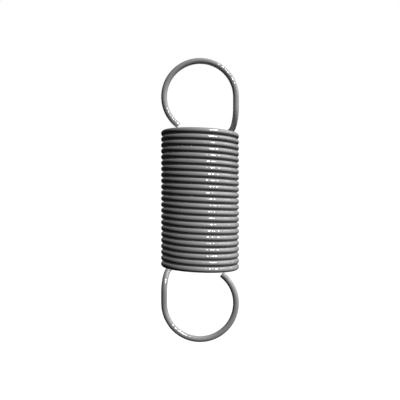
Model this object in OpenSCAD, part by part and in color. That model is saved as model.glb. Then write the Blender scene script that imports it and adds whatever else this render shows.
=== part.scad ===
// Extension spring: round wire wound into a close coil, with a full-loop hook at each end.
// The coil is wound about Z, and both hooks lie in the XZ plane, which holds that axis.
// The origin is the middle of the spring, and half a turn about Y brings it back onto itself.

/* [Wire] */
// Diameter of the wire
wire_d = 1.2; // [0.8:0.05:1.5]

/* [Coil] */
// Outer diameter of the coil
coil_od = 16; // [14:0.5:20]
// Full turns of the coil, each counted where it crosses the front
turns = 23; // [6:1:40]
// Clear gap between one turn and the next
turn_gap = 0.01; // [0.01:0.01:0.4]

/* [Hooks] */
// Angle round the coil, back from its side, at which the wire leaves the last turn
bend_angle = 48; // [35:1:60]
// Height over the last turn at which the bent wire stands upright
bend_rise = 5.1; // [4.5:0.1:6.5]
// Length of the first bend for each unit of the second, along their tangents
bend_share = 0.8; // [0.6:0.05:1.2]
// Length of the straight leg between the bends and the loop
leg_length = 2.2; // [1:0.1:4]
// Angle through which the loop runs, from the top of its leg to the cut end
loop_sweep = 233; // [200:1:240]

/* [Hidden] */
$fn = 48;

// A full turn of the coil is two flat half turns, tilted to either side of level.
// They meet at the sides of the coil, where both run straight back.
half_turn = 180;
quarter_turn = 90;
pitch = wire_d + turn_gap;
coil_r = (coil_od - wire_d) / 2;
half_turn_drop = pitch / 2;
tilt = atan(half_turn_drop / 2 / coil_r);
half_turn_r = norm([coil_r, half_turn_drop / 2]);
coil_top = turns / 2 * pitch;

// Stretches of wire that meet at an angle that isn't a round number stop a hair
// short of each other, inside a ball that is a hair wider than the wire.
seam_gap = 0.01;
seam_swell = 0.002;

// The two bends of the upper hook, as two arcs that share a tangent where they meet.
up = [0, 0, 1];
bend_foot = [
    half_turn_r * cos(bend_angle) * cos(tilt),
    half_turn_r * sin(bend_angle),
    coil_top + half_turn_r * cos(bend_angle) * sin(tilt)
];
foot_along = [sin(bend_angle) * cos(tilt), -cos(bend_angle), sin(bend_angle) * sin(tilt)];
bend_top = [coil_r, 0, coil_top + bend_rise];
bend_meet = arcs_meet(bend_foot, foot_along, bend_top, up, bend_share);
first_chord = bend_meet - bend_foot;
second_chord = bend_top - bend_meet;
first_sweep = 2 * acos(foot_along * unit(first_chord));
second_sweep = 2 * acos(up * unit(second_chord));
first_r = norm(first_chord) / (2 * sin(first_sweep / 2));
second_r = norm(second_chord) / (2 * sin(second_sweep / 2));

// The first bend leans up out of the last turn's plane by this angle about the wire.
coil_inward = [-cos(bend_angle) * cos(tilt), -sin(bend_angle), -cos(bend_angle) * sin(tilt)];
coil_normal = [-sin(tilt), 0, cos(tilt)];
first_lean = atan2(first_chord * coil_normal, first_chord * coil_inward);
// The second bend lies in an upright plane, turned by this angle about the leg.
second_turn = atan2(second_chord.y, second_chord.x);

function unit(v) = v / norm(v);

// Where two arcs meet that run from one point and direction to another.
// Share is the length of the first tangent for each unit of the second.
function arcs_meet(start, start_along, end, end_along, share) =
    let (
        span = end - start,
        both = share * start_along + end_along,
        square = 2 * share * (1 - start_along * end_along),
        linear = 2 * span * both,
        second = (sqrt(linear * linear + 4 * square * span * span) - linear) / (2 * square),
        first = share * second
    )
    (second * (start + first * start_along) + first * (end - second * end_along)) / (first + second);

// Wire bent round the Z axis from the X axis, through an angle of either sign.
module bent_wire(radius, sweep) {
    rotate_extrude(angle = sweep)
        translate([radius, 0])
            circle(d = wire_d);
}

// Wire that starts at the origin and bends from -Y towards -X, short of its ends by the gaps.
module bend(radius, sweep, start_gap, end_gap) {
    degrees_per_mm = half_turn / (PI * radius);
    translate([-radius, 0, 0])
        rotate([0, 0, -start_gap * degrees_per_mm])
            bent_wire(radius, (start_gap + end_gap) * degrees_per_mm - sweep);
}

module seam() {
    sphere(d = wire_d + 2 * seam_swell);
}

module front_half_turn() {
    rotate([0, tilt, 0])
        rotate([0, 0, half_turn])
            bent_wire(half_turn_r, half_turn);
}

module back_half_turn() {
    rotate([0, -tilt, 0])
        bent_wire(half_turn_r, half_turn);
}

// The plane of the last turn, turned to where the wire leaves it.
module at_bend_foot() {
    translate([0, 0, coil_top])
        rotate([0, -tilt, 0])
            rotate([0, 0, bend_angle])
                translate([half_turn_r, 0, 0])
                    children();
}

// What is left of the last turn, from the left side of the coil to the first bend.
module last_turn() {
    seam_angle = seam_gap * half_turn / (PI * half_turn_r);
    translate([0, 0, coil_top])
        rotate([0, -tilt, 0])
            rotate([0, 0, half_turn])
                bent_wire(half_turn_r, bend_angle + seam_angle - half_turn);
}

module hook() {
    at_bend_foot() {
        seam();
        rotate([0, first_lean, 0])
            bend(first_r, first_sweep, seam_gap, seam_gap);
    }
    translate(bend_meet)
        seam();
    translate(bend_top)
        rotate([0, 0, second_turn])
            rotate([quarter_turn, 0, 0])
                bend(second_r, second_sweep, 0, seam_gap);
    translate(bend_top)
        cylinder(d = wire_d, h = leg_length);
    translate([0, 0, bend_top.z + leg_length])
        rotate([quarter_turn, 0, 0])
            bent_wire(coil_r, loop_sweep);
}

module extension_spring() {
    color("silver") {
        for (turn = [0 : turns - 1])
            translate([0, 0, (turn + 0.5) * pitch - coil_top])
                front_half_turn();
        for (turn = [1 : turns - 1])
            translate([0, 0, turn * pitch - coil_top])
                back_half_turn();
        for (end = [0, half_turn])
            rotate([0, end, 0]) {
                last_turn();
                hook();
            }
    }
}

extension_spring();
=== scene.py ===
import math

import bmesh
import bpy
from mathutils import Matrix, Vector


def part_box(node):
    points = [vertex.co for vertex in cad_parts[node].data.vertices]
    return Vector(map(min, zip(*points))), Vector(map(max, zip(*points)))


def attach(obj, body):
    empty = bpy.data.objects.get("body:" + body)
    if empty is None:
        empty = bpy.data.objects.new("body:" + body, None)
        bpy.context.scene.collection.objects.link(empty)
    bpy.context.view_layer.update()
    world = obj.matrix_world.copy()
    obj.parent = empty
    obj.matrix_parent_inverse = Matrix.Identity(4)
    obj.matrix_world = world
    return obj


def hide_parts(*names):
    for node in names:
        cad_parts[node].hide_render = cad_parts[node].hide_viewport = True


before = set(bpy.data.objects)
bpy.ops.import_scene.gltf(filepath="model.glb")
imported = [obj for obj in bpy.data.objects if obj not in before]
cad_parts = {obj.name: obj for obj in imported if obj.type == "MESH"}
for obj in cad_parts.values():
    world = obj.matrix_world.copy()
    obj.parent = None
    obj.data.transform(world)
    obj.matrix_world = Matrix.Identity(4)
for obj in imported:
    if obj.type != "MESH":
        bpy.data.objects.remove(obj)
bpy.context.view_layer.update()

# The wire
# The spring is one length of hard-drawn spring steel wire. A coiler winds its body, turn against
# turn, and each end is then bent up out of the last turn and round into a full loop, and cropped
# square. Here it is bent from the middle of the coil to one cut end, and the other half is a copy.
MM = 0.001
WIRE_D = 1.2 * MM
TURN_GAP = 0.01 * MM
TURNS = 23
BEND_ANGLE = math.radians(48)
BEND_RISE = 5.1 * MM
BEND_SHARE = 0.8
LOOP_SWEEP = math.radians(233)
CROP_EDGE = 0.06 * MM

# The mesh of the wire: flat sides round it, the angle that one ring of them bends through, the
# sharpest fold between faces that still looks round, and how near two points are one.
WIRE_SIDES = 32
RING_ANGLE = math.radians(360 / 64)
ROUND_FOLD = math.radians(25)
SAME_PLACE = 0.001 * MM

low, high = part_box("extension_spring")
pitch = WIRE_D + TURN_GAP
half_turn_drop = pitch / 2
coil_r = (high.x - low.x - WIRE_D) / 2
half_turn_r = math.hypot(coil_r, half_turn_drop / 2)
tilt = math.atan(half_turn_drop / 2 / coil_r)
coil_top = TURNS / 2 * pitch

up = Vector((0, 0, 1))
front = Vector((0, -half_turn_r, 0))
front_along = Vector((-math.cos(tilt), 0, math.sin(tilt)))
bend_foot = Vector((
    half_turn_r * math.cos(BEND_ANGLE) * math.cos(tilt),
    half_turn_r * math.sin(BEND_ANGLE),
    coil_top + half_turn_r * math.cos(BEND_ANGLE) * math.sin(tilt),
))
bend_foot_along = Vector((
    math.sin(BEND_ANGLE) * math.cos(tilt),
    -math.cos(BEND_ANGLE),
    math.sin(BEND_ANGLE) * math.sin(tilt),
))
bend_top = Vector((coil_r, 0, coil_top + BEND_RISE))
loop_centre = Vector((0, 0, high.z - WIRE_D / 2 - coil_r))
loop_start = loop_centre + Vector((coil_r, 0, 0))
cut_end = loop_centre + coil_r * Vector((math.cos(LOOP_SWEEP), 0, math.sin(LOOP_SWEEP)))


def arcs_meet(start, start_along, end, end_along, share):
    """Where two arcs meet that share a tangent and run from one point and direction to another."""
    span = end - start
    per_length = 2 * span.dot(share * start_along + end_along)
    per_square = 2 * share * (1 - start_along.dot(end_along))
    root = math.sqrt(per_length ** 2 + 4 * per_square * span.length_squared)
    second = (root - per_length) / (2 * per_square)
    first = share * second
    first_corner = start + first * start_along
    second_corner = end - second * end_along
    return (second * first_corner + first * second_corner) / (first + second)


def bend_wire(start, along, end):
    """Bends the wire on from its selected end ring, round an arc to a place. Returns its new way."""
    chord = end - start
    lean = along.angle(chord)
    radius = chord.length / 2 / math.sin(lean)
    axis = along.cross(chord).normalized()
    centre = start + radius * axis.cross(along)
    steps = max(2, round(2 * lean / RING_ANGLE))
    bpy.ops.mesh.spin(steps=steps, angle=-2 * lean, center=centre, axis=axis, use_auto_merge=False)
    return (2 * along.dot(chord) / chord.length_squared * chord - along).normalized()


def draw_wire(start, along, end):
    """Draws the wire on from its selected end ring, straight to a place."""
    bpy.ops.mesh.extrude_region_move(TRANSFORM_OT_translate={"value": end - start})
    return along


# Up the coil from side to side, half a turn at a time, then out of the last turn into the hook.
moves = [
    (bend_wire, Vector((coil_r if side % 2 else -coil_r, 0, (side + 0.5) * half_turn_drop)))
    for side in range(TURNS)
]
moves += [
    (bend_wire, bend_foot),
    (bend_wire, arcs_meet(bend_foot, bend_foot_along, bend_top, up, BEND_SHARE)),
    (bend_wire, bend_top),
    (draw_wire, loop_start),
    (bend_wire, cut_end),
]

bpy.ops.object.select_all(action="DESELECT")
bpy.ops.mesh.primitive_circle_add(
    vertices=WIRE_SIDES,
    radius=WIRE_D / 2,
    location=front,
    rotation=(0, tilt - math.pi / 2, 0),
)
wire = bpy.context.object
wire.name = wire.data.name = "spring_wire"
bpy.ops.object.transform_apply(location=True, rotation=True, scale=True)
bpy.ops.object.mode_set(mode="EDIT")
bpy.ops.mesh.select_all(action="SELECT")
place, along = front, front_along
for move, next_place in moves:
    along = move(place, along, next_place)
    place = next_place
bpy.ops.mesh.edge_face_add()
bpy.ops.mesh.bevel(offset=CROP_EDGE, segments=2, affect="EDGES")
bpy.ops.object.mode_set(mode="OBJECT")

# The lower half is a copy of the upper one, turned over. They are welded in the middle of the coil.
bpy.ops.object.duplicate()
bpy.context.object.rotation_euler = (0, math.pi, 0)
bpy.ops.object.transform_apply(location=True, rotation=True, scale=True)
wire.select_set(True)
bpy.context.view_layer.objects.active = wire
bpy.ops.object.join()
bpy.ops.object.mode_set(mode="EDIT")
bpy.ops.mesh.select_all(action="SELECT")
bpy.ops.mesh.remove_doubles(threshold=SAME_PLACE)
bpy.ops.mesh.normals_make_consistent(inside=False)
bpy.ops.object.mode_set(mode="OBJECT")
bpy.ops.object.shade_smooth_by_angle(angle=ROUND_FOLD)


def facing_a_turn(vert, centre):
    """How squarely a vertex faces the next turn: 1 where it touches the one above, -1 the one below.

    It fades to 0 where the wire lifts off the coil at either end.
    """
    toward = (vert.co - centre).normalized().z
    next_turn = centre.z + math.copysign(pitch, toward)
    lifted = max(abs(centre.z), abs(next_turn)) - bend_foot.z
    return toward * min(max(1 - lifted / WIRE_D, 0), 1)


def mark_along_wire(mesh):
    """Marks each vertex with its place on the straight wire and how it faces the next turn.

    The place is across the wire in X and Y, and along it from one cut end in Z.
    """
    shape = bmesh.new()
    shape.from_mesh(mesh)
    on_wire = shape.verts.layers.float_vector.new(ON_WIRE)
    between_turns = shape.verts.layers.float.new(BETWEEN_TURNS)
    cut_face = max(shape.faces, key=lambda face: (len(face.verts), face.calc_center_median().z))
    ring = [corner.vert for corner in cut_face.loops]
    centre = cut_face.calc_center_median()
    length = 0
    marked = set()
    while ring:
        ring_centre = sum((vert.co for vert in ring), Vector()) / len(ring)
        length += (ring_centre - centre).length
        centre = ring_centre
        for index, vert in enumerate(ring):
            turned = 2 * math.pi * index / len(ring)
            across = (WIRE_D / 2 * math.cos(turned), WIRE_D / 2 * math.sin(turned))
            vert[on_wire] = (*across, length)
            vert[between_turns] = facing_a_turn(vert, centre)
        marked.update(ring)
        ring = [
            edge.other_vert(vert)
            for vert in ring
            for edge in vert.link_edges
            if edge.other_vert(vert) not in marked
        ]
    shape.to_mesh(mesh)
    shape.free()
    return length


ON_WIRE = "on_wire"
BETWEEN_TURNS = "between_turns"
wire_length = mark_along_wire(wire.data)


def linear(hex_colour):
    """The linear colour of an sRGB hex value."""
    parts = [int(hex_colour[i:i + 2], 16) / 255 for i in (1, 3, 5)]
    return [part / 12.92 if part <= 0.04045 else ((part + 0.055) / 1.055) ** 2.4 for part in parts] + [1]


def add_node(tree, kind, inputs, **settings):
    """Adds a node with its settings, and with each input set to a value or linked to an output.

    An input goes by its identifier, because a Mix node has several that share a name.
    """
    node = tree.nodes.new(kind)
    for name, value in settings.items():
        setattr(node, name, value)
    sockets = {socket.identifier: socket for socket in node.inputs}
    for name, value in inputs.items():
        if isinstance(value, bpy.types.NodeSocket):
            tree.links.new(value, sockets[name])
        else:
            sockets[name].default_value = value
    return node


def drawn_spring_steel():
    """Hard-drawn spring steel wire, left as it comes off the coiler.

    The phosphate coat that it is drawn with turns it an even satin grey, and a film of oil gives it
    small sharp glints. The grooves between the turns are painted darker as shade. The cut ends are bare.
    """
    material = bpy.data.materials.new("drawn_spring_steel")
    material.use_nodes = True
    tree = material.node_tree
    tree.nodes.clear()
    place = add_node(tree, "ShaderNodeAttribute", {}, attribute_name=ON_WIRE).outputs["Vector"]

    # The die leaves fine marks along the wire. They are drawn coarser than the real ones, and show
    # the eye which way the wire was pulled.
    mark_width = 0.15 * MM
    mark_length = 6 * MM
    stretched = add_node(
        tree, "ShaderNodeMapping",
        {"Vector": place, "Scale": (1 / mark_width, 1 / mark_width, 1 / mark_length)},
    ).outputs["Vector"]
    marks = add_node(
        tree, "ShaderNodeTexNoise", {"Vector": stretched, "Scale": 1, "Detail": 3},
    ).outputs["Fac"]

    # The phosphate is lighter and darker in faint patches a few wires long.
    patch_size = 4 * MM
    patches = add_node(
        tree, "ShaderNodeTexNoise", {"Vector": place, "Scale": 1 / patch_size, "Detail": 4},
    ).outputs["Fac"]

    # The oil lies on the wire in small ripples, drawn coarser than they are. They break its glints
    # into dashes.
    ripple_width = 3 * MM
    ripple_length = 0.7 * MM
    ripple_height = 0.16 * MM
    rippled = add_node(
        tree, "ShaderNodeMapping",
        {"Vector": place, "Scale": (1 / ripple_width, 1 / ripple_width, 1 / ripple_length)},
    ).outputs["Vector"]
    ripples = add_node(
        tree, "ShaderNodeTexNoise", {"Vector": rippled, "Scale": 1, "Detail": 0},
    ).outputs["Fac"]
    oil_surface = add_node(
        tree, "ShaderNodeBump", {"Height": ripples, "Distance": ripple_height},
    ).outputs["Normal"]

    tone = add_node(
        tree, "ShaderNodeMix", {"Factor_Float": 0.5, "A_Float": marks, "B_Float": patches},
    ).outputs["Result"]
    satin_grey = add_node(
        tree, "ShaderNodeMix",
        {"Factor_Float": tone, "A_Color": linear("#9b9b9b"), "B_Color": linear("#bebebe")},
        data_type="RGBA",
    ).outputs[MIXED_COLOUR]

    # Painted shade: the lower half of each turn, where it curves into the groove under it, is painted
    # darker, and so is a thin line on its top, where the next turn touches it. Each limit is how
    # squarely the place faces a turn.
    fully_dark_under = -0.7
    top_shade_begins = 0.75
    facing = add_node(tree, "ShaderNodeAttribute", {}, attribute_name=BETWEEN_TURNS).outputs["Fac"]
    under = add_node(
        tree, "ShaderNodeMapRange", {"Value": facing, "From Min": 0, "From Max": fully_dark_under},
        interpolation_type="SMOOTHSTEP",
    ).outputs["Result"]
    on_top = add_node(
        tree, "ShaderNodeMapRange", {"Value": facing, "From Min": top_shade_begins, "From Max": 1},
        interpolation_type="SMOOTHSTEP",
    ).outputs["Result"]
    painted_groove_shade = add_node(
        tree, "ShaderNodeMath", {"Value": under, "Value_001": on_top}, operation="MAXIMUM",
    ).outputs["Value"]
    # The painted shade in the grooves: a near-black mixed into the grey.
    grooved = add_node(
        tree, "ShaderNodeMix",
        {"Factor_Float": painted_groove_shade, "A_Color": satin_grey, "B_Color": linear("#191919")},
        data_type="RGBA",
    ).outputs[MIXED_COLOUR]

    # The cropped faces show the bright steel under the phosphate.
    cropped = 0.04 * MM
    along = add_node(tree, "ShaderNodeSeparateXYZ", {"Vector": place}).outputs["Z"]
    coated = add_node(
        tree, "ShaderNodeMath",
        {"Value": along, "Value_001": wire_length / 2, "Value_002": wire_length / 2 - cropped},
        operation="COMPARE",
    ).outputs["Value"]
    colour = add_node(
        tree, "ShaderNodeMix",
        {"Factor_Float": coated, "A_Color": linear("#d0d0d0"), "B_Color": grooved},
        data_type="RGBA",
    ).outputs[MIXED_COLOUR]

    smoothest = 0.67
    roughest = 0.83
    roughness = add_node(
        tree, "ShaderNodeMapRange", {"Value": marks, "To Min": smoothest, "To Max": roughest},
    ).outputs["Result"]
    mark_depth = 0.01 * MM
    steel_surface = add_node(
        tree, "ShaderNodeBump", {"Height": marks, "Distance": mark_depth},
    ).outputs["Normal"]

    # The coat is the film of oil. It shines more than oil alone, because the phosphate is glassy, and
    # it fades out where a turn touches the next. There the key lamp, which throws little shadow,
    # would otherwise draw white streaks on the turns' tops.
    oil_thins = 0.55
    oil_gone = 0.85
    oil = add_node(
        tree, "ShaderNodeMapRange",
        {"Value": facing, "From Min": oil_thins, "From Max": oil_gone, "To Min": 1, "To Max": 0},
        interpolation_type="SMOOTHSTEP",
    ).outputs["Result"]
    shader = add_node(
        tree, "ShaderNodeBsdfPrincipled",
        {
            "Base Color": colour,
            "Metallic": 0.3,
            "Roughness": roughness,
            "Normal": steel_surface,
            "Coat Weight": oil,
            "Coat Roughness": 0.18,
            "Coat IOR": 1.8,
            "Coat Normal": oil_surface,
        },
    )
    add_node(tree, "ShaderNodeOutputMaterial", {"Surface": shader.outputs["BSDF"]})
    return material


MIXED_COLOUR = 2
wire.data.materials.clear()
wire.data.materials.append(drawn_spring_steel())
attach(wire, "root")
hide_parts("extension_spring")

# The floor
# A plain sheet of white paper, well below the hanging spring. It is seen white wherever the
# spring's soft shadow doesn't fall on it.
FLOOR_Z = -0.1
FLOOR_SIZE = 4
PAPER_GLOW = 0.1


def seen_directly(tree):
    """1 for the camera and for what metal and glass show, and 0 for light that falls on things."""
    path = add_node(tree, "ShaderNodeLightPath", {}).outputs
    shown = add_node(
        tree, "ShaderNodeMath",
        {"Value": path["Is Glossy Ray"], "Value_001": path["Is Transmission Ray"]},
        operation="MAXIMUM",
    ).outputs["Value"]
    return add_node(
        tree, "ShaderNodeMath", {"Value": path["Is Camera Ray"], "Value_001": shown},
        operation="MAXIMUM",
    ).outputs["Value"]


def white_paper():
    """Matt white paper, which throws little light up, so that the underside of the steel stays dark."""
    material = bpy.data.materials.new("white_paper")
    material.use_nodes = True
    tree = material.node_tree
    tree.nodes.clear()
    paper = add_node(tree, "ShaderNodeBsdfDiffuse", {"Color": linear("#e8e8e8")}).outputs["BSDF"]
    glow = add_node(tree, "ShaderNodeEmission", {"Strength": PAPER_GLOW}).outputs["Emission"]
    bright = add_node(
        tree, "ShaderNodeAddShader", {"Shader": paper, "Shader_001": glow},
    ).outputs["Shader"]
    dim = add_node(tree, "ShaderNodeBsdfDiffuse", {"Color": linear("#202020")}).outputs["BSDF"]
    shader = add_node(
        tree, "ShaderNodeMixShader", {"Fac": seen_directly(tree), "Shader": dim, "Shader_001": bright},
    ).outputs["Shader"]
    add_node(tree, "ShaderNodeOutputMaterial", {"Surface": shader})
    return material


bpy.ops.object.select_all(action="DESELECT")
bpy.ops.mesh.primitive_plane_add(size=FLOOR_SIZE, location=(0, 0, FLOOR_Z))
floor = bpy.context.object
floor.name = floor.data.name = "floor"
floor.data.materials.append(white_paper())
bpy.ops.object.transform_apply(location=True, rotation=True, scale=True)

# The dark cloth
# A tent of black cloth stands round the spring and is open behind it. Shiny steel shows the room,
# so the cloth gives it dark sides, and the backdrop gives it pale rims. Only gloss sees the cloth.
TENT_R = 0.6
TENT_FOOT = FLOOR_Z + 5 * MM
TENT_OPENING = math.radians(12)


def black_cloth():
    """Matt black cloth in a dim room, shown at one even tone."""
    material = bpy.data.materials.new("black_cloth")
    material.use_nodes = True
    tree = material.node_tree
    tree.nodes.clear()
    cloth = add_node(tree, "ShaderNodeEmission", {"Color": linear("#1f1f1f"), "Strength": 1})
    add_node(tree, "ShaderNodeOutputMaterial", {"Surface": cloth.outputs["Emission"]})
    return material


bpy.ops.object.select_all(action="DESELECT")
bpy.ops.mesh.primitive_uv_sphere_add(segments=48, ring_count=24, radius=TENT_R)
tent = bpy.context.object
tent.name = tent.data.name = "dark_cloth"
bpy.ops.object.mode_set(mode="EDIT")
bpy.ops.mesh.select_all(action="SELECT")
bpy.ops.mesh.bisect(
    plane_co=(0, 0, TENT_FOOT),
    plane_no=(0, 0, 1),
    use_fill=True,
    clear_inner=True,
)
bpy.ops.mesh.select_all(action="SELECT")
bpy.ops.mesh.bisect(
    plane_co=(0, TENT_R * math.cos(TENT_OPENING), 0),
    plane_no=(0, 1, 0),
    clear_outer=True,
)
bpy.ops.object.mode_set(mode="OBJECT")
tent.data.materials.append(black_cloth())
tent.visible_camera = False
tent.visible_diffuse = False
tent.visible_transmission = False
tent.visible_shadow = False

# The light
# The key lamp stands high on the right, in front of the spring. Most of its light throws no shadow,
# as in the photo, and the rest keeps a faint one on the floor. Weaker lamps light the right edge
# and the back. The room is dim, and its walls are white.
KEY_ASIDE = 45
KEY_HEIGHT = 40
KEY_ENERGY = 3.2
SHADOW_SHARE = 0.25
DIM_ROOM = 0.02


def add_lamp(name, aside, height, energy, width, throws_shadow=False):
    """Adds a far studio lamp, so many degrees to the camera's right of the spring and above it.

    Its width is in degrees too.
    """
    turned = (math.radians(90 - height), 0, math.radians(aside))
    bpy.ops.object.light_add(type="SUN", rotation=turned)
    lamp = bpy.context.object
    lamp.name = lamp.data.name = name
    lamp.data.energy = energy
    lamp.data.angle = math.radians(width)
    lamp.data.use_shadow = throws_shadow
    return lamp


add_lamp(
    "key_lamp", aside=KEY_ASIDE, height=KEY_HEIGHT,
    energy=(1 - SHADOW_SHARE) * KEY_ENERGY, width=3,
)
add_lamp(
    "key_shadow", aside=KEY_ASIDE, height=KEY_HEIGHT,
    energy=SHADOW_SHARE * KEY_ENERGY, width=6, throws_shadow=True,
)
add_lamp("edge_lamp", aside=100, height=35, energy=1.4, width=20)

# The lamp behind is left out of the gloss, or the steel's edges would flash when seen from in front.
back_lamp = add_lamp("back_lamp", aside=200, height=30, energy=1.8, width=20)
back_lamp.visible_glossy = False

world = bpy.data.worlds.new("studio")
bpy.context.scene.world = world
world.use_nodes = True
room = world.node_tree
room.nodes.clear()
white = linear("#ffffff")
dim_room = add_node(
    room, "ShaderNodeBackground", {"Color": white, "Strength": DIM_ROOM},
).outputs["Background"]
white_room = add_node(
    room, "ShaderNodeBackground", {"Color": white, "Strength": 1},
).outputs["Background"]
room_shader = add_node(
    room, "ShaderNodeMixShader",
    {"Fac": seen_directly(room), "Shader": dim_room, "Shader_001": white_room},
).outputs["Shader"]
add_node(room, "ShaderNodeOutputWorld", {"Surface": room_shader})
bpy.context.scene.view_settings.view_transform = "Standard"

# The camera
# It looks level at the middle of the spring, straight at the front, from close by.
CAMERA_AWAY = 0.10547
CAMERA_LENS = 46.13
SENSOR_WIDTH = 36
bpy.ops.object.camera_add(location=(0, -CAMERA_AWAY, 0), rotation=(math.pi / 2, 0, 0))
camera = bpy.context.object
camera.name = camera.data.name = "camera"
camera.data.sensor_width = SENSOR_WIDTH
camera.data.lens = CAMERA_LENS
camera.data.clip_start = MM
bpy.context.scene.camera = camera
